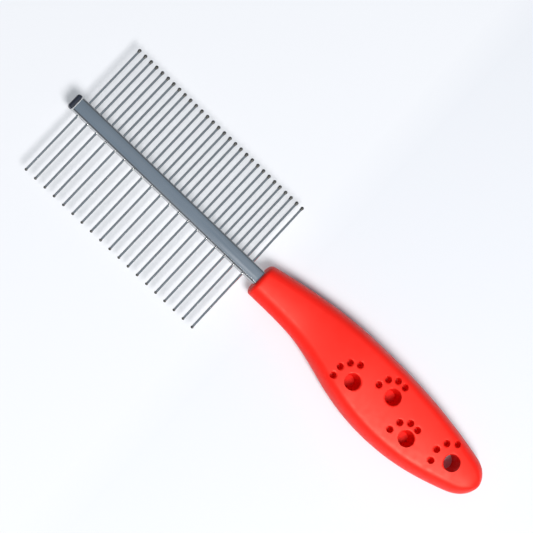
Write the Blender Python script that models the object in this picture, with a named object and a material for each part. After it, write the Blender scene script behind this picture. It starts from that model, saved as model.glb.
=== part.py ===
"""Double-sided steel grooming comb with a moulded handle.

Frame: +X runs from the head to the handle's butt, +Y towards the fine row of
pins, +Z up. The comb lies on the flat back of its handle at Z = 0, the spine
lies along Y = 0, and X = 0 is the middle of the whole length.
"""
import math

import bmesh
import bpy
from mathutils import Matrix

MM = 0.001

# Whole comb
LENGTH = 200.0 * MM
HEAD_END = -LENGTH / 2
BUTT_END = LENGTH / 2
HANDLE_LENGTH = 109.7 * MM
MOUTH = BUTT_END - HANDLE_LENGTH
AXIS_Z = 5.0 * MM               # height of the spine and of both rows of pins
GAP = 0.3 * MM                  # clearance between neighbouring pieces

# Spine: a rectangular steel tube whose inner end is the handle's tang
SPINE_WIDTH = 5.8 * MM
SPINE_DEPTH = 5.0 * MM
SPINE_WALL = 0.6 * MM
SPINE_CORNER = 0.9 * MM
SPINE_START = HEAD_END + 1.8 * MM
TANG_LENGTH = 34.0 * MM
SPINE_END = MOUTH + TANG_LENGTH

# Pins: both rows cover the same stretch of the spine
PIN_TIP_Y = 29.35 * MM
PIN_ROOT_Y = 0.5 * MM
PIN_RADIUS = 0.5 * MM
PIN_SPAN = 79.8 * MM
FIRST_PIN = SPINE_START + 3.15 * MM
FINE_COUNT = 30
COARSE_COUNT = 19
PIN_TIP_ROUND = 0.35 * MM
DRILL_RADIUS = PIN_RADIUS + 0.15 * MM

# Bar inside the spine that holds the roots of the pins
CORE_WIDTH = SPINE_WIDTH - 2 * SPINE_WALL - 2 * GAP
CORE_DEPTH = SPINE_DEPTH - 2 * SPINE_WALL - 2 * GAP
CORE_START = FIRST_PIN - 1.1 * MM
CORE_END = FIRST_PIN + PIN_SPAN + 1.6 * MM
CORE_WEB = 0.2 * MM             # half of the web between opposite blind holes

# Plug that closes the head end of the spine
PLUG_RIM_END = SPINE_START - 0.1 * MM
PLUG_CORNER = 0.8 * MM
PLUG_SPIGOT_END = CORE_START - GAP

# Handle outline: distance from the mouth, Y and slope of each long edge
FINE_EDGE = (
    (0.0, 6.45, 0.24), (24.0, 11.1, 0.15), (48.0, 12.95, 0.0),
    (74.0, 12.05, -0.08), (109.7, 6.3, -0.23),
)
COARSE_EDGE = (
    (0.0, -6.6, 0.0), (20.0, -6.95, -0.07), (42.0, -11.9, -0.29),
    (67.0, -15.45, 0.0), (88.0, -13.0, 0.24), (109.7, -5.85, 0.41),
)
# Handle thickness over its flat back: distance from the mouth, height, slope
CREST = (
    (0.0, 10.0, 0.0), (20.0, 10.1, 0.02), (52.0, 12.6, 0.0),
    (80.0, 12.4, -0.02), (109.7, 10.4, -0.08),
)
SHOULDER = 4.2 * MM             # width of the rounding along each long edge
MOUTH_ROUND = 1.5 * MM
BUTT_ZONE = 8.0 * MM            # stretch over which the outline rounds off
BUTT_POWER = 2.6
BUTT_MIDDLE = 0.1 * MM
BUTT_NOSE = 4.0                 # how late the thickness rounds off over that stretch
BUTT_CAP = 0.965                # share of the zone where the last section lies

SOCKET_WIDTH = SPINE_WIDTH + 2 * GAP
SOCKET_DEPTH = SPINE_DEPTH + 2 * GAP
SOCKET_END = SPINE_END + 2 * GAP

# Paw prints: pad's distance from the mouth, its Y, the way the paw faces, the
# angle between toes, and how far the first and the last toe are from the pad.
# The last pad goes right through the handle: the comb hangs by that hole.
PAWS = (
    (48.6, -4.4, 156.0, 32.0, 6.6, 7.3),
    (63.2, 1.7, 131.5, 34.0, 5.6, 6.9),
    (76.9, -5.8, 136.5, 38.0, 5.1, 7.0),
    (95.5, -0.65, 165.0, 33.3, 7.1, 8.0),
)
TOES_PER_PAW = 4
PAD_RADIUS = 3.0 * MM
PAD_FOOT = 2.35 * MM            # radius at the bottom of a pad
PAD_SINK = 6.2 * MM
TOE_RADIUS = 1.2 * MM
TOE_FOOT = 1.0 * MM             # radius at the bottom of a toe
TOE_SINK = 3.6 * MM
HANG_RADIUS = 3.15 * MM

# Facets
ARC_STEPS = 4                   # along each shoulder of a handle section
FLAT_STEPS = 3                  # across the handle's crest and across its back
BODY_SECTIONS = 18
BUTT_SECTIONS = 8
PIN_SIDES = 10
DRILL_SIDES = 8


def clear_scene():
    for obj in list(bpy.data.objects):
        bpy.data.objects.remove(obj, do_unlink=True)


def make_material(name, color, roughness, metallic):
    material = bpy.data.materials.new(name)
    material.use_nodes = True
    shader = material.node_tree.nodes["Principled BSDF"]
    shader.inputs["Base Color"].default_value = (*color, 1.0)
    shader.inputs["Roughness"].default_value = roughness
    shader.inputs["Metallic"].default_value = metallic
    return material


def add_object(name, mesh, material=None):
    obj = bpy.data.objects.new(name, mesh)
    bpy.context.scene.collection.objects.link(obj)
    if material:
        mesh.materials.clear()
        mesh.materials.append(material)
    return obj


def mesh_from(bm, name, smooth_angle=math.radians(35)):
    bmesh.ops.recalc_face_normals(bm, faces=bm.faces[:])
    mesh = bpy.data.meshes.new(name)
    bm.to_mesh(mesh)
    bm.free()
    mesh.shade_smooth()
    mesh.set_sharp_from_angle(angle=smooth_angle)
    return mesh


def cut(obj, cutter):
    """Subtract the cutter from the object with an exact Boolean."""
    cutter.hide_render = True
    cutter.display_type = "WIRE"
    modifier = obj.modifiers.new(cutter.name, "BOOLEAN")
    modifier.operation = "DIFFERENCE"
    modifier.object = cutter


def add_box(bm, low, high):
    """Add a box to the bmesh and return its new vertices."""
    size = [b - a for a, b in zip(low, high)]
    middle = [(a + b) / 2 for a, b in zip(low, high)]
    made = bmesh.ops.create_cube(bm, size=1.0)
    bmesh.ops.scale(bm, verts=made["verts"], vec=size)
    bmesh.ops.translate(bm, verts=made["verts"], vec=middle)
    return made["verts"]


def round_edges(bm, verts, radius, segments, along):
    """Bevel the edges of one box that run along the given axis (0, 1 or 2)."""
    edges = {edge for vert in verts for edge in vert.link_edges}
    chosen = []
    for edge in edges:
        run = edge.verts[1].co - edge.verts[0].co
        if abs(run[along]) > 0.99 * run.length:
            chosen.append(edge)
    bmesh.ops.bevel(bm, geom=chosen, offset=radius, offset_type="OFFSET", segments=segments,
                    profile=0.5, affect="EDGES", material=-1)


def pin_places(count):
    """X of each pin of a row that covers the pin span evenly."""
    return [FIRST_PIN + PIN_SPAN * i / (count - 1) for i in range(count)]


# Spine, core bar and plug ---------------------------------------------------

def pin_drills(name, inner_y, outer_y):
    """Drills for both rows, each running from inner_y to outer_y off the spine's axis."""
    bm = bmesh.new()
    for side, count in ((1, FINE_COUNT), (-1, COARSE_COUNT)):
        turn = Matrix.Rotation(math.radians(90), 4, "X")
        for x in pin_places(count):
            place = Matrix.Translation((x, side * (inner_y + outer_y) / 2, AXIS_Z))
            bmesh.ops.create_cone(bm, cap_ends=True, segments=DRILL_SIDES, radius1=DRILL_RADIUS,
                                  radius2=DRILL_RADIUS, depth=outer_y - inner_y, matrix=place @ turn)
    return add_object(name, mesh_from(bm, name))


def build_spine(material):
    half_y, half_z = SPINE_WIDTH / 2, SPINE_DEPTH / 2
    bm = bmesh.new()
    shell = add_box(bm, (SPINE_START, -half_y, AXIS_Z - half_z), (SPINE_END, half_y, AXIS_Z + half_z))
    round_edges(bm, shell, SPINE_CORNER, 3, along=0)
    spine = add_object("spine_tube", mesh_from(bm, "spine_tube"), material)

    bm = bmesh.new()
    inner_y, inner_z = half_y - SPINE_WALL, half_z - SPINE_WALL
    core = add_box(bm, (SPINE_START - 1 * MM, -inner_y, AXIS_Z - inner_z),
                   (SPINE_END + 1 * MM, inner_y, AXIS_Z + inner_z))
    round_edges(bm, core, SPINE_CORNER - SPINE_WALL, 1, along=0)
    cut(spine, add_object("spine_bore_cutter", mesh_from(bm, "spine_bore_cutter")))
    cut(spine, pin_drills("spine_drills", inner_y - 0.2 * MM, half_y + 1 * MM))


def build_core_bar(material):
    bm = bmesh.new()
    add_box(bm, (CORE_START, -CORE_WIDTH / 2, AXIS_Z - CORE_DEPTH / 2),
            (CORE_END, CORE_WIDTH / 2, AXIS_Z + CORE_DEPTH / 2))
    core = add_object("core_bar", mesh_from(bm, "core_bar"), material)
    cut(core, pin_drills("core_drills", CORE_WEB, CORE_WIDTH / 2 + 0.2 * MM))


def build_end_plug(material):
    half_y, half_z = SPINE_WIDTH / 2, SPINE_DEPTH / 2
    bm = bmesh.new()
    add_box(bm, (HEAD_END, -half_y, AXIS_Z - half_z), (PLUG_RIM_END, half_y, AXIS_Z + half_z))
    inner_face = max(bm.faces, key=lambda face: face.calc_center_median().x)
    bmesh.ops.inset_region(bm, faces=[inner_face], thickness=SPINE_WALL + GAP, use_even_offset=True)
    spigot = bmesh.ops.extrude_discrete_faces(bm, faces=[inner_face])["faces"][0]
    bmesh.ops.translate(bm, verts=spigot.verts, vec=(PLUG_SPIGOT_END - PLUG_RIM_END, 0, 0))
    touches_front = [edge for edge in bm.edges
                     if min(vert.co.x for vert in edge.verts) < HEAD_END + 0.01 * MM]
    bmesh.ops.bevel(bm, geom=touches_front, offset=PLUG_CORNER, offset_type="OFFSET",
                    segments=3, profile=0.5, affect="EDGES", material=-1)
    add_object("end_plug", mesh_from(bm, "end_plug"), material)


# Pins -------------------------------------------------------------------------

def pin_mesh(name, side):
    """One round pin along Y with a softened tip, its root at Y = 0."""
    shaft = PIN_TIP_Y - PIN_ROOT_Y - PIN_TIP_ROUND
    bm = bmesh.new()
    bmesh.ops.create_cone(bm, cap_ends=True, segments=PIN_SIDES, radius1=PIN_RADIUS,
                          radius2=PIN_RADIUS, depth=shaft, matrix=Matrix.Translation((0, 0, shaft / 2)))
    end_face = max(bm.faces, key=lambda face: face.calc_center_median().z)
    tip = bmesh.ops.extrude_discrete_faces(bm, faces=[end_face])["faces"][0]
    bmesh.ops.translate(bm, verts=tip.verts, vec=(0, 0, PIN_TIP_ROUND))
    bmesh.ops.scale(bm, verts=tip.verts, vec=(0.6, 0.6, 1))
    bmesh.ops.rotate(bm, verts=bm.verts, matrix=Matrix.Rotation(math.radians(-90 * side), 3, "X"))
    return mesh_from(bm, name)


def build_pins(material):
    for row, side, count in (("fine_pin", 1, FINE_COUNT), ("coarse_pin", -1, COARSE_COUNT)):
        mesh = pin_mesh(row, side)
        for number, x in enumerate(pin_places(count), start=1):
            pin = add_object(f"{row}_{number:02d}", mesh, material)
            pin.location = (x, side * PIN_ROOT_Y, AXIS_Z)


# Handle -----------------------------------------------------------------------

def curve_at(points, x):
    """Smooth curve through points of (distance, value, slope), all in millimetres."""
    for (x0, y0, slope0), (x1, y1, slope1) in zip(points, points[1:]):
        if x <= x1:
            break
    width = x1 - x0
    t = min(max((x - x0) / width, 0.0), 1.0)
    return ((2 * t ** 3 - 3 * t ** 2 + 1) * y0 + (t ** 3 - 2 * t ** 2 + t) * width * slope0
            + (3 * t ** 2 - 2 * t ** 3) * y1 + (t ** 3 - t ** 2) * width * slope1)


def edges_at(distance):
    """Y of the fine and coarse edges and the height of the crest, before the ends round off."""
    along = distance / MM
    return (curve_at(FINE_EDGE, along) * MM, curve_at(COARSE_EDGE, along) * MM,
            curve_at(CREST, along) * MM)


def crest_surface(distance, y):
    """Height of the handle's upper face at a point, past its mouth and short of its butt."""
    fine, coarse, crest = edges_at(distance)
    inside = min(fine - y, y - coarse)
    if inside >= SHOULDER:
        return crest
    cosine = 1 - inside / SHOULDER
    return AXIS_Z + (crest - AXIS_Z) * math.sqrt(1 - cosine ** 2)


def section_ring(x, fine, coarse, crest, back, shoulder):
    """Points of one cross-section: flat crest and back, joined by elliptic shoulders."""
    arcs = ((fine, 1, crest), (coarse, -1, crest), (coarse, -1, back), (fine, 1, back))
    ring = []
    for number, (edge, way, level) in enumerate(arcs):
        rising = number % 2 == 0
        for step in range(ARC_STEPS + 1 if rising else ARC_STEPS):
            share = step / ARC_STEPS if rising else 1 - step / ARC_STEPS
            angle = share * math.pi / 2
            ring.append((x, edge - way * shoulder * (1 - math.cos(angle)),
                         AXIS_Z + (level - AXIS_Z) * math.sin(angle)))
        if rising:
            next_edge, next_way = arcs[number + 1][:2]
            start, stop = edge - way * shoulder, next_edge - next_way * shoulder
            ring += [(x, start + (stop - start) * i / FLAT_STEPS, level) for i in range(1, FLAT_STEPS)]
    return ring


def handle_rings():
    """Cross-sections from the mouth to the butt."""
    rings = []
    for angle in (math.pi / 2, math.pi / 3, math.pi / 6):
        inset = MOUTH_ROUND * (1 - math.cos(angle))
        distance = MOUTH_ROUND * (1 - math.sin(angle))
        fine, coarse, crest = edges_at(distance)
        rings.append(section_ring(MOUTH + distance, fine - inset, coarse + inset, crest - inset,
                                  inset, SHOULDER - inset))
    butt_start = HANDLE_LENGTH - BUTT_ZONE
    for i in range(BODY_SECTIONS + 1):
        distance = MOUTH_ROUND + (butt_start - MOUTH_ROUND) * i / BODY_SECTIONS
        fine, coarse, crest = edges_at(distance)
        rings.append(section_ring(MOUTH + distance, fine, coarse, crest, 0.0, SHOULDER))
    for i in range(1, BUTT_SECTIONS + 1):
        share = BUTT_CAP * math.sin(math.pi / 2 * i / BUTT_SECTIONS)
        narrow = (1 - share ** BUTT_POWER) ** (1 / BUTT_POWER)
        thin = (1 - share ** BUTT_NOSE) ** (1 / BUTT_NOSE)
        distance = butt_start + BUTT_ZONE * share / BUTT_CAP
        fine, coarse, crest = edges_at(distance)
        fine = BUTT_MIDDLE + (fine - BUTT_MIDDLE) * narrow
        coarse = BUTT_MIDDLE + (coarse - BUTT_MIDDLE) * narrow
        crest = AXIS_Z + (crest - AXIS_Z) * thin
        back = AXIS_Z * (1 - thin)
        rings.append(section_ring(MOUTH + distance, fine, coarse, crest, back,
                                  min(SHOULDER, 0.45 * (fine - coarse))))
    return rings


def handle_body(material):
    bm = bmesh.new()
    previous = None
    for ring in handle_rings():
        verts = [bm.verts.new(point) for point in ring]
        loop = [bm.edges.new((a, b)) for a, b in zip(verts, verts[1:] + verts[:1])]
        if previous:
            bmesh.ops.bridge_loops(bm, edges=previous + loop)
        else:
            bmesh.ops.contextual_create(bm, geom=loop)
        previous = loop
    bmesh.ops.contextual_create(bm, geom=previous)
    return add_object("handle", mesh_from(bm, "handle"), material)


def paw_cutter():
    """Blind holes of every paw print, and the hanging hole."""
    bm = bmesh.new()

    def drill(x, y, radius, foot, bottom, surface, sides):
        top = max(point[1] for point in CREST) * MM + 2 * MM
        mouth = foot + (radius - foot) * (top - bottom) / (surface - bottom)
        bmesh.ops.create_cone(bm, cap_ends=True, segments=sides, radius1=foot, radius2=mouth,
                              depth=top - bottom, matrix=Matrix.Translation((x, y, (top + bottom) / 2)))

    for number, (distance, y, facing, spread, first_reach, last_reach) in enumerate(PAWS, start=1):
        distance, y = distance * MM, y * MM
        surface = crest_surface(distance, y)
        if number == len(PAWS):
            drill(MOUTH + distance, y, HANG_RADIUS, HANG_RADIUS, -2 * MM, surface, 24)
        else:
            drill(MOUTH + distance, y, PAD_RADIUS, PAD_FOOT, surface - PAD_SINK, surface, 20)
        for toe in range(TOES_PER_PAW):
            angle = math.radians(facing + spread * (toe - (TOES_PER_PAW - 1) / 2))
            reach = (first_reach + (last_reach - first_reach) * toe / (TOES_PER_PAW - 1)) * MM
            toe_distance = distance + reach * math.cos(angle)
            toe_y = y + reach * math.sin(angle)
            surface = crest_surface(toe_distance, toe_y)
            drill(MOUTH + toe_distance, toe_y, TOE_RADIUS, TOE_FOOT, surface - TOE_SINK, surface, 10)
    return add_object("paw_cutter", mesh_from(bm, "paw_cutter"))


def build_handle(material):
    handle = handle_body(material)
    bm = bmesh.new()
    add_box(bm, (MOUTH - 2 * MM, -SOCKET_WIDTH / 2, AXIS_Z - SOCKET_DEPTH / 2),
            (SOCKET_END, SOCKET_WIDTH / 2, AXIS_Z + SOCKET_DEPTH / 2))
    cut(handle, add_object("socket_cutter", mesh_from(bm, "socket_cutter")))
    cut(handle, paw_cutter())


clear_scene()
polished_steel = make_material("polished_steel", (0.62, 0.64, 0.66), 0.18, 1.0)
satin_steel = make_material("satin_steel", (0.23, 0.26, 0.30), 0.38, 1.0)
core_steel = make_material("core_steel", (0.45, 0.45, 0.44), 0.5, 1.0)
black_plastic = make_material("black_plastic", (0.012, 0.016, 0.03), 0.4, 0.0)
red_plastic = make_material("red_plastic", (0.85, 0.03, 0.02), 0.35, 0.0)

build_spine(satin_steel)
build_core_bar(core_steel)
build_end_plug(black_plastic)
build_pins(polished_steel)
build_handle(red_plastic)
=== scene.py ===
import math
import random

import bmesh
import bpy
from mathutils import Matrix, Vector


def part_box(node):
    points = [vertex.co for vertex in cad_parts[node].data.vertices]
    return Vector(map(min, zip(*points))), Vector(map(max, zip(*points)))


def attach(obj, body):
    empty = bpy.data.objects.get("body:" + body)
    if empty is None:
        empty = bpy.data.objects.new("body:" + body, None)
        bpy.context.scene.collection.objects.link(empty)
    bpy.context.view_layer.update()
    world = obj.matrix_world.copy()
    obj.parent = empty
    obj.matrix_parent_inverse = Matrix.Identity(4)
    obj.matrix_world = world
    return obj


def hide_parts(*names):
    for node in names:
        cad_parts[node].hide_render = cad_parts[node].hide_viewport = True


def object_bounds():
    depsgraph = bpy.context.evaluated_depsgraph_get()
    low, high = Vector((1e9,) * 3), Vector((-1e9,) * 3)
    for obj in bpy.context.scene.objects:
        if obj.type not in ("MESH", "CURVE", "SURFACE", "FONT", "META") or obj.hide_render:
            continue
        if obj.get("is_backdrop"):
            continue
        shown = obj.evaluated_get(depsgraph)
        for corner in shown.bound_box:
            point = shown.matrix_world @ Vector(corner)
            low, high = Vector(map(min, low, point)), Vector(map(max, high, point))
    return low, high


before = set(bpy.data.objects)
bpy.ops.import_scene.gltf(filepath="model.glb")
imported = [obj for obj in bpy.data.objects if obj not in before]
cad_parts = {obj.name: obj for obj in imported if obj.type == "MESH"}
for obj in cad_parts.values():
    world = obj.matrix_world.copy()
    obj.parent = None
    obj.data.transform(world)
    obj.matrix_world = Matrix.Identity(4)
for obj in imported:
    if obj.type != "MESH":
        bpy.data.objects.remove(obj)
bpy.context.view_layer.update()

MM = 0.001


# ---------------------------------------------------------------- spine tube
# The spine is one length of rectangular steel tube with rounded corners. It is satin brushed
# lengthwise and punched along both narrow sides for the pins; its cut rim at the head end is painted near
# white as a painted highlight.
# Its inner end runs into the handle as the tang.

def box_mesh(low, high):
    """A bmesh that holds one box."""
    bm = bmesh.new()
    bmesh.ops.create_cube(bm, size=1.0)
    bmesh.ops.scale(bm, verts=bm.verts, vec=high - low)
    bmesh.ops.translate(bm, verts=bm.verts, vec=(low + high) / 2)
    return bm


def round_over(bm, edges, radius, segments):
    """Round the edges over with the radius."""
    bmesh.ops.bevel(bm, geom=edges, offset=radius, offset_type="OFFSET", segments=segments,
                    profile=0.5, affect="EDGES", material=-1, clamp_overlap=True)


def runs_along_x(edge):
    """True for an edge that follows the comb's length."""
    run = edge.verts[1].co - edge.verts[0].co
    return abs(run.x) > 0.99 * run.length


SMOOTH_BELOW = math.radians(40)  # faces that meet at less than this are shaded as one
WELD = 0.0005 * MM


def to_object(bm, name):
    """Weld the bmesh, face it outward and put it in the scene as a smooth-shaded object."""
    bmesh.ops.remove_doubles(bm, verts=bm.verts, dist=WELD)
    bmesh.ops.recalc_face_normals(bm, faces=bm.faces)
    mesh = bpy.data.meshes.new(name)
    bm.to_mesh(mesh)
    bm.free()
    mesh.shade_smooth()
    mesh.set_sharp_from_angle(angle=SMOOTH_BELOW)
    piece = bpy.data.objects.new(name, mesh)
    bpy.context.scene.collection.objects.link(piece)
    return piece


def carve(piece, cutter):
    """Take the cutter out of the piece for good."""
    cut = piece.modifiers.new("carve", "BOOLEAN")
    cut.operation = "DIFFERENCE"
    cut.solver = "EXACT"
    cut.object = cutter
    bpy.context.view_layer.update()
    carved = bpy.data.meshes.new_from_object(piece.evaluated_get(bpy.context.evaluated_depsgraph_get()))
    piece.modifiers.clear()
    piece.data = carved
    bpy.data.objects.remove(cutter, do_unlink=True)


def make_finish(name, color, metallic, roughness):
    """A material with one Principled shader. Returns the material and the shader."""
    finish = bpy.data.materials.new(name)
    finish.use_nodes = True
    shader = finish.node_tree.nodes["Principled BSDF"]
    shader.inputs["Base Color"].default_value = (*color, 1)
    shader.inputs["Metallic"].default_value = metallic
    shader.inputs["Roughness"].default_value = roughness
    return finish, shader


def object_coordinates(finish):
    """The socket with the piece's own coordinates, in metres."""
    return finish.node_tree.nodes.new("ShaderNodeTexCoord").outputs["Object"]


def noise_on(finish, scale, detail=3, stretch=(1, 1, 1)):
    """A noise pattern on the piece's own coordinates, per metre; returns its value socket."""
    nodes, links = finish.node_tree.nodes, finish.node_tree.links
    spread = nodes.new("ShaderNodeMapping")
    spread.inputs["Scale"].default_value = stretch
    noise = nodes.new("ShaderNodeTexNoise")
    noise.inputs["Scale"].default_value = scale
    noise.inputs["Detail"].default_value = detail
    links.new(object_coordinates(finish), spread.inputs["Vector"])
    links.new(spread.outputs["Vector"], noise.inputs["Vector"])
    return noise.outputs["Fac"]


def remap(finish, value, start, stop, low, high):
    """The value's stretch from start to stop, laid over low to high."""
    node = finish.node_tree.nodes.new("ShaderNodeMapRange")
    for socket, number in zip(("From Min", "From Max", "To Min", "To Max"), (start, stop, low, high)):
        node.inputs[socket].default_value = number
    finish.node_tree.links.new(value, node.inputs["Value"])
    return node.outputs["Result"]


def shade_between(finish, value, dark, light):
    """A colour that runs from dark to light with the value."""
    node = finish.node_tree.nodes.new("ShaderNodeMix")
    node.data_type = "RGBA"
    node.inputs["A"].default_value = (*dark, 1)
    node.inputs["B"].default_value = (*light, 1)
    finish.node_tree.links.new(value, node.inputs["Factor"])
    return node.outputs["Result"]


def raise_grain(finish, shader, height, depth, strength=1.0):
    """Give the shader bump of the given depth in metres."""
    bump = finish.node_tree.nodes.new("ShaderNodeBump")
    bump.inputs["Distance"].default_value = depth
    bump.inputs["Strength"].default_value = strength
    finish.node_tree.links.new(height, bump.inputs["Height"])
    finish.node_tree.links.new(bump.outputs["Normal"], shader.inputs["Normal"])


spine_low, spine_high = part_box("spine_tube")
axis_z = (spine_low.z + spine_high.z) / 2
SPINE_WALL = 0.6 * MM
SPINE_CORNER = 0.9 * MM
RIM_ROUND = 0.42 * MM
DRILL_RADIUS = 0.54 * MM
DRILL_LENGTH = 2 * MM

bm = box_mesh(spine_low, spine_high)
round_over(bm, [edge for edge in bm.edges if runs_along_x(edge)], SPINE_CORNER, 6)
head_face = min(bm.faces, key=lambda face: face.calc_center_median().x)
round_over(bm, head_face.edges[:], RIM_ROUND, 4)
head_face = min(bm.faces, key=lambda face: face.calc_center_median().x)
tang_face = max(bm.faces, key=lambda face: face.calc_center_median().x)
bmesh.ops.inset_region(bm, faces=[head_face], thickness=SPINE_WALL - RIM_ROUND, use_even_offset=True)
bmesh.ops.inset_region(bm, faces=[tang_face], thickness=SPINE_WALL, use_even_offset=True)
bmesh.ops.delete(bm, geom=[head_face, tang_face], context="FACES_ONLY")
bmesh.ops.bridge_loops(bm, edges=[edge for edge in bm.edges if edge.is_boundary])
spine = to_object(bm, "spine_shell")

pin_nodes = sorted(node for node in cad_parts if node.startswith(("fine_pin", "coarse_pin")))
bm = bmesh.new()
for node in pin_nodes:
    low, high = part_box(node)
    side = 1 if node.startswith("fine") else -1
    place = Matrix.Translation(((low.x + high.x) / 2, side * spine_high.y, axis_z))
    bmesh.ops.create_cone(bm, cap_ends=True, segments=20, radius1=DRILL_RADIUS, radius2=DRILL_RADIUS,
                          depth=DRILL_LENGTH, matrix=place @ Matrix.Rotation(math.radians(90), 4, "X"))
carve(spine, to_object(bm, "spine_drills"))

brushed, shader = make_finish("satin_brushed_steel", (0.55, 0.56, 0.57), 1.0, 0.18)
streaks = noise_on(brushed, 900, 4, stretch=(0.03, 1, 1))
clouds = noise_on(brushed, 160, 3, stretch=(0.4, 1, 1))
brushed.node_tree.links.new(remap(brushed, streaks, 0.3, 0.7, 0.14, 0.24), shader.inputs["Roughness"])
brushed.node_tree.links.new(shade_between(brushed, clouds, (0.50, 0.51, 0.52), (0.58, 0.59, 0.60)),
                            shader.inputs["Base Color"])
raise_grain(brushed, shader, streaks, 0.01 * MM, 0.5)
# The head-end rim is painted near white and barely metallic: a painted highlight for the bright line along
# the cut edge.
rim_highlight, shader = make_finish("rim_painted_highlight", (0.86, 0.87, 0.88), 0.25, 0.3)
turning_lines = noise_on(rim_highlight, 2500, 2)
rim_highlight.node_tree.links.new(remap(rim_highlight, turning_lines, 0.3, 0.7, 0.24, 0.4), shader.inputs["Roughness"])
spine.data.materials.append(brushed)
spine.data.materials.append(rim_highlight)
# the head-end rim takes the painted highlight
for face in spine.data.polygons:
    if face.center.x < spine_low.x + RIM_ROUND:
        face.material_index = 1

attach(spine, "root")
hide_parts("spine_tube")


# ------------------------------------------------------------------ core bar
# The core bar is a drawn steel strip that fills the spine where the pins stand. The root of each
# pin sits in a blind hole in it. It is hidden once the plug is in.

drawn, shader = make_finish("drawn_steel", (0.45, 0.45, 0.44), 1.0, 0.5)
draw_marks = noise_on(drawn, 1200, 3, stretch=(0.05, 1, 1))
drawn.node_tree.links.new(remap(drawn, draw_marks, 0.3, 0.7, 0.42, 0.6), shader.inputs["Roughness"])
raise_grain(drawn, shader, draw_marks, 0.01 * MM)
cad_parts["core_bar"].data.materials.clear()
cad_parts["core_bar"].data.materials.append(drawn)


# ------------------------------------------------------------------ end plug
# The plug is a dark moulded plastic cap. Its spigot presses into the head end of the spine and
# its rim, as wide as the tube, is rounded all over at the front.

plug_low, plug_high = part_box("end_plug")
PLUG_ROUND = 0.9 * MM
PLUG_SPIGOT_INSET = 0.9 * MM
PLUG_GAP = 0.1 * MM
rim_end = spine_low.x - PLUG_GAP

bm = box_mesh(plug_low, Vector((rim_end, plug_high.y, plug_high.z)))
inner_face = max(bm.faces, key=lambda face: face.calc_center_median().x)
bmesh.ops.inset_region(bm, faces=[inner_face], thickness=PLUG_SPIGOT_INSET, use_even_offset=True)
spigot = bmesh.ops.extrude_discrete_faces(bm, faces=[inner_face])["faces"][0]
bmesh.ops.translate(bm, verts=spigot.verts, vec=(plug_high.x - rim_end, 0, 0))
front_edges = [edge for edge in bm.edges
               if min(vert.co.x for vert in edge.verts) < plug_low.x + 0.01 * MM]
round_over(bm, front_edges, PLUG_ROUND, 8)
plug = to_object(bm, "plug_cap")

dark_plastic, shader = make_finish("dark_moulded_plastic", (0.010, 0.014, 0.028), 0.0, 0.42)
mould_grain = noise_on(dark_plastic, 4000, 2)
dark_plastic.node_tree.links.new(remap(dark_plastic, mould_grain, 0.3, 0.7, 0.36, 0.5),
                                 shader.inputs["Roughness"])
raise_grain(dark_plastic, shader, mould_grain, 0.01 * MM, 0.6)
plug.data.materials.append(dark_plastic)

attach(plug, "root")
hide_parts("end_plug")


# ---------------------------------------------------------------------- pins
# Each pin is a length of round spring wire, polished bright, with its tip rounded to a small
# bead so that it doesn't scratch the skin. Its root is pressed through the tube into the core.

WIRE_RADIUS = 0.5 * MM
FINE_BEAD = 0.64 * MM
COARSE_BEAD = 0.56 * MM
NECK = 2.4                       # bead radii from the tip back to the straight wire
FINE_TIP_SHADE, COARSE_TIP_SHADE = 2.5, 1.3  # bead radii from the tip that the painted tip shade covers
BEAD_STEPS = 8
WIRE_SIDES = 20
PIN_LEAN = math.radians(0.12)    # how far a pin may stand out of square

bright, shader = make_finish("polished_wire", (0.80, 0.80, 0.79), 1.0, 0.14)
wire_marks = noise_on(bright, 3000, 2, stretch=(1, 0.1, 1))
bright.node_tree.links.new(remap(bright, wire_marks, 0.3, 0.7, 0.08, 0.11), shader.inputs["Roughness"])
raise_grain(bright, shader, wire_marks, 0.0005 * MM, 0.1)
# The bead and its neck are painted near black and rough: painted shade for the rounded tip, so that it shows
# as a dark dot with no highlight.
tip_shade, shader = make_finish("rounded_tip_painted_shade", (0.11, 0.11, 0.105), 1.0, 0.55)
tip_marks = noise_on(tip_shade, 2500, 3)
tip_shade.node_tree.links.new(remap(tip_shade, tip_marks, 0.3, 0.7, 0.5, 0.65), shader.inputs["Roughness"])


def wire_profile(length, bead):
    """Points (radius, distance from the root) of a pin: a round bead ends the straight wire."""
    neck = length - NECK * bead
    centre = length - bead
    start = math.asin(WIRE_RADIUS / bead) if bead > WIRE_RADIUS else math.pi / 2
    points = [(0, 0), (0.8 * WIRE_RADIUS, 0), (WIRE_RADIUS, 0.2 * WIRE_RADIUS), (WIRE_RADIUS, neck)]
    for i in range(BEAD_STEPS + 1):
        angle = math.pi - start + (start - math.pi) * i / BEAD_STEPS
        points.append((bead * math.sin(angle), centre + bead * math.cos(angle)))
    return points


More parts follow.
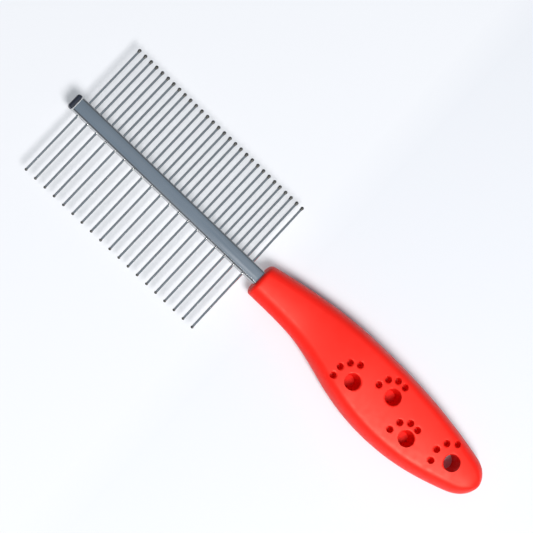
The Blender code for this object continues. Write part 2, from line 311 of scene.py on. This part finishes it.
lean = random.Random(11)
for node in pin_nodes:
    low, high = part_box(node)
    side, bead, shaded_reach = ((1, FINE_BEAD, FINE_TIP_SHADE) if node.startswith("fine")
                          else (-1, COARSE_BEAD, COARSE_TIP_SHADE))
    root_y = low.y if side > 0 else high.y
    bm = bmesh.new()
    verts = [bm.verts.new((radius, 0, along)) for radius, along in wire_profile(high.y - low.y, bead)]
    edges = [bm.edges.new(pair) for pair in zip(verts, verts[1:])]
    bmesh.ops.spin(bm, geom=verts + edges, cent=(0, 0, 0), axis=(0, 0, 1), angle=2 * math.pi,
                   steps=WIRE_SIDES, use_merge=True)
    turn = (Matrix.Rotation(lean.uniform(-PIN_LEAN, PIN_LEAN), 4, "Z")
            @ Matrix.Rotation(math.radians(-90 * side), 4, "X"))
    bmesh.ops.transform(bm, verts=bm.verts,
                        matrix=Matrix.Translation(((low.x + high.x) / 2, root_y, axis_z)) @ turn)
    pin = to_object(bm, node.replace("_pin_", "_wire_"))
    pin.data.materials.append(bright)
    pin.data.materials.append(tip_shade)
    # faces near the tip take the painted tip shade
    for face in pin.data.polygons:
        if abs(face.center.y - root_y) > high.y - low.y - shaded_reach * bead:
            face.material_index = 1
    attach(pin, "root")
    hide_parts(node)


# -------------------------------------------------------------------- handle
# The handle is one red moulding, semi-gloss, closed round the tang. It widens from the mouth to
# the palm, its long edges are rounded over, and its back is flat. Four paw prints are sunk into
# its face; the pad nearest the butt goes right through, to hang the comb by.

handle_low, handle_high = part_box("handle")
handle_length = handle_high.x - handle_low.x
FINE_EDGE = (        # distance from the mouth, Y and slope of each long edge, in millimetres
    (0.0, 6.45, 0.24), (24.0, 11.1, 0.15), (48.0, 12.95, 0.0),
    (74.0, 12.05, -0.08), (109.7, 6.3, -0.23),
)
COARSE_EDGE = (
    (0.0, -6.6, 0.0), (20.0, -6.95, -0.07), (42.0, -11.9, -0.29),
    (67.0, -15.45, 0.0), (88.0, -13.0, 0.24), (109.7, -5.85, 0.41),
)
CREST = (            # distance from the mouth, height above the back and its slope
    (0.0, 10.0, 0.0), (20.0, 10.1, 0.02), (52.0, 12.6, 0.0),
    (80.0, 12.4, -0.02), (109.7, 10.4, -0.08),
)
CROWN = 0.9 * MM                 # fall of the face from its middle line to its edges
SHOULDER = 4.2 * MM
MOUTH_ROUND = 1.5 * MM
BUTT_ZONE = 8.0 * MM
BUTT_POWER = 2.6
BUTT_NOSE = 4.0
BUTT_MIDDLE = 0.1 * MM
BUTT_SHOULDER = 0.45             # share of the butt's width that each rounded edge may take
ARC_STEPS = 9
FLAT_STEPS = 22
MOUTH_SECTIONS = 6
BODY_SECTIONS = 100
BUTT_SECTIONS = 21


def curve_at(points, x):
    """Smooth curve through points of (distance, value, slope)."""
    for (x0, y0, slope0), (x1, y1, slope1) in zip(points, points[1:]):
        if x <= x1:
            break
    width = x1 - x0
    t = min(max((x - x0) / width, 0.0), 1.0)
    return ((2 * t ** 3 - 3 * t ** 2 + 1) * y0 + (t ** 3 - 2 * t ** 2 + t) * width * slope0
            + (3 * t ** 2 - 2 * t ** 3) * y1 + (t ** 3 - t ** 2) * width * slope1)


def edges_at(distance):
    """Y of the fine and coarse edges and height of the crest, before the ends round off."""
    return [curve_at(points, distance / MM) * MM for points in (FINE_EDGE, COARSE_EDGE, CREST)]


def crowned(y, fine, coarse, crest):
    """Height of the crowned face at y, before the long edges round off."""
    across = (2 * y - fine - coarse) / (fine - coarse)
    return crest - CROWN * across ** 2


def crest_surface(distance, y):
    """Height of the handle's face at a point between mouth and butt."""
    fine, coarse, crest = edges_at(distance)
    rounding = max(0, 1 - min(fine - y, y - coarse) / SHOULDER)
    return axis_z + (crowned(y, fine, coarse, crest) - axis_z) * math.sqrt(1 - rounding ** 2)


def add_section(bm, distance, fine, coarse, crest, back, shoulder):
    """Add one closed cross-section and return its edges: round edges, crowned face, flat back."""
    x = handle_low.x + distance
    outline = []                 # (y, share of the full height) from the fine edge over the face
    for step in range(ARC_STEPS):
        angle = math.pi / 2 * step / ARC_STEPS
        outline.append((fine - shoulder * (1 - math.cos(angle)), math.sin(angle)))
    flat = fine - coarse - 2 * shoulder
    outline += [(fine - shoulder - flat * i / FLAT_STEPS, 1.0) for i in range(FLAT_STEPS + 1)]
    outline += [(fine + coarse - y, share) for y, share in reversed(outline[:ARC_STEPS])]
    face = [(x, y, axis_z + (crowned(y, fine, coarse, crest) - axis_z) * share) for y, share in outline]
    under = [(x, y, axis_z + (back - axis_z) * share) for y, share in outline[-2:0:-1]]
    verts = [bm.verts.new(point) for point in face + under]
    return [bm.edges.new(pair) for pair in zip(verts, verts[1:] + verts[:1])]


bm = bmesh.new()
sections = []
for i in range(MOUTH_SECTIONS):
    angle = math.pi / 2 * (1 - i / MOUTH_SECTIONS)
    inset = MOUTH_ROUND * (1 - math.cos(angle))
    distance = MOUTH_ROUND * (1 - math.sin(angle))
    fine, coarse, crest = edges_at(distance)
    sections.append(add_section(bm, distance, fine - inset, coarse + inset, crest - inset, inset,
                                SHOULDER - inset))
butt_start = handle_length - BUTT_ZONE
for i in range(BODY_SECTIONS + 1):
    distance = MOUTH_ROUND + (butt_start - MOUTH_ROUND) * i / BODY_SECTIONS
    fine, coarse, crest = edges_at(distance)
    sections.append(add_section(bm, distance, fine, coarse, crest, 0, SHOULDER))
for i in range(1, BUTT_SECTIONS):
    share = math.sin(math.pi / 2 * i / BUTT_SECTIONS)
    narrow = (1 - share ** BUTT_POWER) ** (1 / BUTT_POWER)
    thin = (1 - share ** BUTT_NOSE) ** (1 / BUTT_NOSE)
    fine, coarse, crest = edges_at(butt_start + BUTT_ZONE * share)
    fine = BUTT_MIDDLE + (fine - BUTT_MIDDLE) * narrow
    coarse = BUTT_MIDDLE + (coarse - BUTT_MIDDLE) * narrow
    sections.append(add_section(bm, butt_start + BUTT_ZONE * share, fine, coarse,
                                axis_z + (crest - axis_z) * thin, axis_z * (1 - thin),
                                min(SHOULDER, BUTT_SHOULDER * (fine - coarse))))
bmesh.ops.contextual_create(bm, geom=sections[0])
bmesh.ops.contextual_create(bm, geom=sections[-1])
for near, far in zip(sections, sections[1:]):
    bmesh.ops.bridge_loops(bm, edges=near + far)
handle = to_object(bm, "red_handle")

SOCKET_PLAY, SOCKET_END_PLAY = 0.12 * MM, 0.6 * MM
CUTTER_SPARE = 2 * MM            # how far a cutter stands out of what it cuts
socket_low = Vector((handle_low.x - CUTTER_SPARE, spine_low.y - SOCKET_PLAY, spine_low.z - SOCKET_PLAY))
socket_high = Vector((spine_high.x + SOCKET_END_PLAY, spine_high.y + SOCKET_PLAY, spine_high.z + SOCKET_PLAY))
bm = box_mesh(socket_low, socket_high)
round_over(bm, [edge for edge in bm.edges if runs_along_x(edge)], SPINE_CORNER, 6)
carve(handle, to_object(bm, "socket_core"))

red, shader = make_finish("red_moulded_plastic", (0.84, 0.013, 0.007), 0.0, 0.45)
blotches = noise_on(red, 45, 3)
grain = noise_on(red, 5200, 2)
wear = noise_on(red, 420, 5)
red.node_tree.links.new(shade_between(red, blotches, (0.80, 0.011, 0.006), (0.86, 0.015, 0.009)),
                        shader.inputs["Base Color"])
red.node_tree.links.new(remap(red, wear, 0.35, 0.7, 0.40, 0.50), shader.inputs["Roughness"])
raise_grain(red, shader, grain, 0.012 * MM, 0.35)
shader.inputs["Specular IOR Level"].default_value = 0.32
shader.inputs["Specular Tint"].default_value = (1.0, 0.86, 0.68, 1)
shader.inputs["Subsurface Weight"].default_value = 0.06
shader.inputs["Subsurface Radius"].default_value = (1.0, 0.12, 0.08)
shader.inputs["Subsurface Scale"].default_value = 1.2 * MM

# The pads' walls are painted a darker red than the face, as painted shade for the depth of the holes; they
# are also a little glossier.
hole_shade, shader = make_finish("red_hole_wall_painted_shade", (0.75, 0.008, 0.005), 0.0, 0.4)
core_marks = noise_on(hole_shade, 1500, 3, stretch=(1, 1, 0.2))
hole_shade.node_tree.links.new(remap(hole_shade, core_marks, 0.3, 0.7, 0.32, 0.45), shader.inputs["Roughness"])
raise_grain(hole_shade, shader, core_marks, 0.01 * MM, 0.3)
shader.inputs["Specular IOR Level"].default_value = 0.18
shader.inputs["Specular Tint"].default_value = (1.0, 0.7, 0.6, 1)
MOULDED_SLOT, HOLE_SHADE_SLOT = 0, 1
handle.data.materials.append(red)
handle.data.materials.append(hole_shade)

PAWS = (             # pad: distance and Y; facing and toe spacing in degrees; reach of end toes
    (48.6, -4.4, 156.0, 32.0, 6.6, 7.3),
    (63.2, 1.7, 131.5, 34.0, 5.6, 6.9),
    (76.9, -5.8, 136.5, 38.0, 5.1, 7.0),
    (95.5, -0.65, 165.0, 33.3, 7.1, 8.0),
)
TOES = 4
PAD_RADIUS, PAD_FOOT, PAD_SINK, PAD_LIP = 3.0 * MM, 2.35 * MM, 6.2 * MM, 0.4 * MM
TOE_RADIUS, TOE_FOOT, TOE_SINK, TOE_LIP = 1.2 * MM, 1.0 * MM, 3.6 * MM, 0.3 * MM
HANG_RADIUS = 3.15 * MM
PAD_SIDES, TOE_SIDES = 48, 32
FOOT_ROUND = 0.3 * MM
LIP_STEPS = 6
LIP_TURN = math.radians(80)
FLARE_OUT, FLARE_UP = 0.25 * MM, 0.08 * MM


def core_pin(bm, x, y, radius, foot, bottom, surface, lip, sides, slot):
    """The steel core that moulds one hole: tapered to its foot, with a flared lip at the face.

    The hole's wall takes the material in the given slot; for the pads that is the darker red with painted
    shade.
    """
    profile = [(0, bottom), (foot - FOOT_ROUND, bottom), (foot, bottom + FOOT_ROUND)]
    for i in range(LIP_STEPS + 1):
        angle = LIP_TURN * i / LIP_STEPS
        profile.append((radius + lip * (1 - math.cos(angle)), surface - lip * (1 - math.sin(angle))))
    flare = profile[-1][0] + FLARE_OUT
    top = surface + CUTTER_SPARE
    profile += [(flare, surface + FLARE_UP), (flare, top), (0, top)]
    verts = [bm.verts.new((x + out, y, up)) for out, up in profile]
    edges = [bm.edges.new(pair) for pair in zip(verts, verts[1:])]
    bmesh.ops.spin(bm, geom=verts + edges, cent=(x, y, 0), axis=(0, 0, 1), angle=2 * math.pi,
                   steps=sides, use_merge=True)
    for face in bm.faces:
        middle = face.calc_center_median()
        if math.hypot(middle.x - x, middle.y - y) < radius and middle.z < surface - lip:
            face.material_index = slot


bm = bmesh.new()
for number, (pad_at, pad_y, facing, spread, first_reach, last_reach) in enumerate(PAWS, start=1):
    pad_at, pad_y = pad_at * MM, pad_y * MM
    surface = crest_surface(pad_at, pad_y)
    radius, foot, bottom = PAD_RADIUS, PAD_FOOT, surface - PAD_SINK
    if number == len(PAWS):      # the hanging hole goes right through
        radius, foot, bottom = HANG_RADIUS, HANG_RADIUS, -CUTTER_SPARE
    core_pin(bm, handle_low.x + pad_at, pad_y, radius, foot, bottom, surface, PAD_LIP, PAD_SIDES,
             HOLE_SHADE_SLOT)
    for toe in range(TOES):
        angle = math.radians(facing + spread * (toe - (TOES - 1) / 2))
        reach = (first_reach + (last_reach - first_reach) * toe / (TOES - 1)) * MM
        toe_at, toe_y = pad_at + reach * math.cos(angle), pad_y + reach * math.sin(angle)
        surface = crest_surface(toe_at, toe_y)
        core_pin(bm, handle_low.x + toe_at, toe_y, TOE_RADIUS, TOE_FOOT, surface - TOE_SINK, surface,
                 TOE_LIP, TOE_SIDES, MOULDED_SLOT)
paw_cores = to_object(bm, "paw_cores")
paw_cores.data.materials.append(red)
paw_cores.data.materials.append(hole_shade)
carve(handle, paw_cores)
handle.data.shade_smooth()
handle.data.set_sharp_from_angle(angle=SMOOTH_BELOW)
handle.modifiers.new("even_shading", "WEIGHTED_NORMAL").keep_sharp = True

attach(handle, "root")
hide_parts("handle")


# ------------------------------------------------------------- table, light
# The comb lies on a white table under one large soft light from the handle's side. The table
# glows a little under the head, so that the pins' shadows stay pale.

TABLE_HALF_SIDE = 1.5
GLOW_START, GLOW_FULL = 2 * MM, -12 * MM     # X, across the handle's mouth

bm = bmesh.new()
bmesh.ops.create_grid(bm, x_segments=1, y_segments=1, size=TABLE_HALF_SIDE)
table = to_object(bm, "table")
white, shader = make_finish("white_table", (0.70, 0.72, 0.76), 0.0, 0.8)
shader.inputs["Emission Color"].default_value = (0.94, 0.97, 1.0, 1)
across = white.node_tree.nodes.new("ShaderNodeSeparateXYZ")
white.node_tree.links.new(object_coordinates(white), across.inputs["Vector"])
under_pins = remap(white, across.outputs["X"], GLOW_START, GLOW_FULL, 0.0, 1.0)
white.node_tree.links.new(remap(white, under_pins, 0.0, 1.0, 0.0, 0.34), shader.inputs["Emission Strength"])
white.node_tree.links.new(shade_between(white, under_pins, (0.70, 0.72, 0.76), (0.475, 0.483, 0.51)),
                          shader.inputs["Base Color"])
table.data.materials.append(white)
table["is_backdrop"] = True

world = bpy.data.worlds.new("studio")
bpy.context.scene.world = world
world.use_nodes = True
nodes, links = world.node_tree.nodes, world.node_tree.links
height = nodes.new("ShaderNodeSeparateXYZ")
links.new(nodes.new("ShaderNodeTexCoord").outputs["Generated"], height.inputs["Vector"])
overhead = nodes.new("ShaderNodeMapRange")
overhead.interpolation_type = "SMOOTHSTEP"
overhead.inputs["From Min"].default_value = 0.90
overhead.inputs["From Max"].default_value = 0.975
links.new(height.outputs["Z"], overhead.inputs["Value"])
tint = nodes.new("ShaderNodeMix")
tint.data_type = "RGBA"
tint.inputs["A"].default_value = (0.16, 0.18, 0.20, 1)
tint.inputs["B"].default_value = (0.29, 0.37, 0.46, 1)
links.new(overhead.outputs["Result"], tint.inputs["Factor"])
links.new(tint.outputs["Result"], nodes["Background"].inputs["Color"])


def add_softbox(name, azimuth, elevation, distance, size, power):
    """A square light that points at the comb; azimuth is measured from +X towards +Y."""
    lamp = bpy.data.lights.new(name, "AREA")
    lamp.shape = "SQUARE"
    lamp.size = size
    lamp.energy = power
    lamp.color = (1.0, 0.98, 0.96)
    holder = bpy.data.objects.new(name, lamp)
    bpy.context.scene.collection.objects.link(holder)
    turn, rise = math.radians(azimuth), math.radians(elevation)
    ray = Vector((math.cos(turn) * math.cos(rise), math.sin(turn) * math.cos(rise), math.sin(rise)))
    holder.location = ray * distance
    holder.rotation_euler = ray.to_track_quat("Z", "Y").to_euler()


add_softbox("key", azimuth=-33, elevation=61, distance=1.6, size=0.70, power=34.5)

# ------------------------------------------------------------------- camera
# The camera looks almost straight down, leaning a little towards the head end, and is turned so
# that the comb lies across the picture from corner to corner.

SENSOR_WIDTH = 36.0              # millimetres, as is the focal length
FOCAL_LENGTH = 135.1
CAMERA_DISTANCE = 0.7074
CAMERA_LEAN = math.radians(-10.77)
PICTURE_UP = math.radians(133.4)   # azimuth of the picture's upward direction
camera_data = bpy.data.cameras.new("camera")
camera_data.sensor_width = SENSOR_WIDTH
camera_data.lens = FOCAL_LENGTH
camera = bpy.data.objects.new("camera", camera_data)
bpy.context.scene.collection.objects.link(camera)
bpy.context.scene.camera = camera
aim = Vector((-10.5, 4.9, 5.0)) * MM
picture_up = Vector((math.cos(PICTURE_UP), math.sin(PICTURE_UP), 0))
back = Matrix.Rotation(CAMERA_LEAN, 3, picture_up) @ Vector((0, 0, 1))
right = picture_up.cross(back)
facing_axes = Matrix((right, picture_up, back)).transposed().to_4x4()
camera.matrix_world = Matrix.Translation(aim + back * CAMERA_DISTANCE) @ facing_axes

bpy.context.scene.view_settings.view_transform = "Standard"

low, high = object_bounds()
